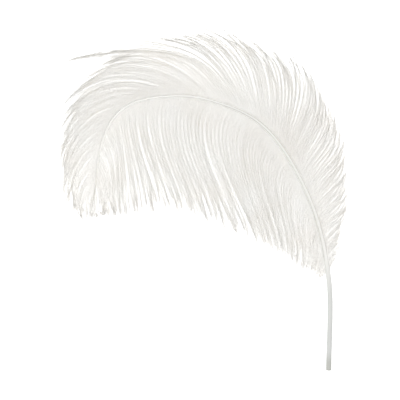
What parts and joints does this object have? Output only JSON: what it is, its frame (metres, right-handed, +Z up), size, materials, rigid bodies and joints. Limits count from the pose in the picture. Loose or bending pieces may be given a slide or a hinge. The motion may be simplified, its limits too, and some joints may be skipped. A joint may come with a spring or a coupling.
{
  "type": "ostrich feather",
  "caption": "White arched ostrich plume with a bare quill, a tapering shaft and long soft drooping barbs on both sides, lying flat.",
  "frame": {"origin": "middle of the feather's footprint, on the surface that it lies on", "axes": "+Y up the bare quill, from its cut end towards the arch; +X to the right of that, away from the drooping tip; +Z up from the surface"},
  "size_m": [0.2085, 0.2424, 0.0184],
  "materials": {
    "barbs": "soft white down",
    "quill": "satin horn"
  },
  "bodies": {
    "root": {"feather": "barbs"}
  },
  "joints": []
}
